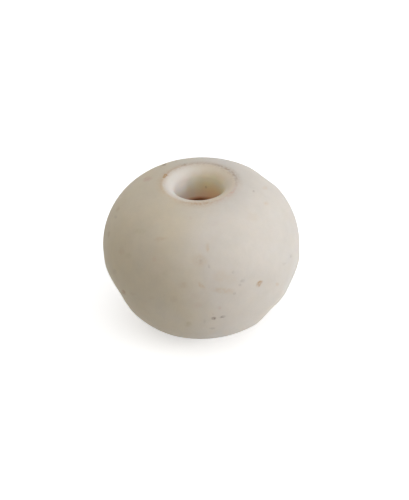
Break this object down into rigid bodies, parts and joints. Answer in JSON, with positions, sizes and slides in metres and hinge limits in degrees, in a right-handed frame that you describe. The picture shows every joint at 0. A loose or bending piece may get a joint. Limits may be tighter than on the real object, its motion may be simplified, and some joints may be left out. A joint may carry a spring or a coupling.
{
  "type": "rope stopper ball",
  "caption": "Slightly flattened plastic ball with a flared through bore, threaded on a rope as a stopper; worn and stained, with shallow hollows in its side.",
  "frame": {"origin": "middle of the bore, half-way up the ball", "axes": "+Z along the bore, out of the mouth that faces up; +X and +Y square to it, with the deepest worn hollow towards -X"},
  "size_m": [0.032, 0.032, 0.0248],
  "materials": {
    "ball": "ivory nylon gone matt with use, rust-brown stains, dirt in the bore"
  },
  "bodies": {
    "root": {"stopper_ball": "ball"}
  },
  "joints": []
}
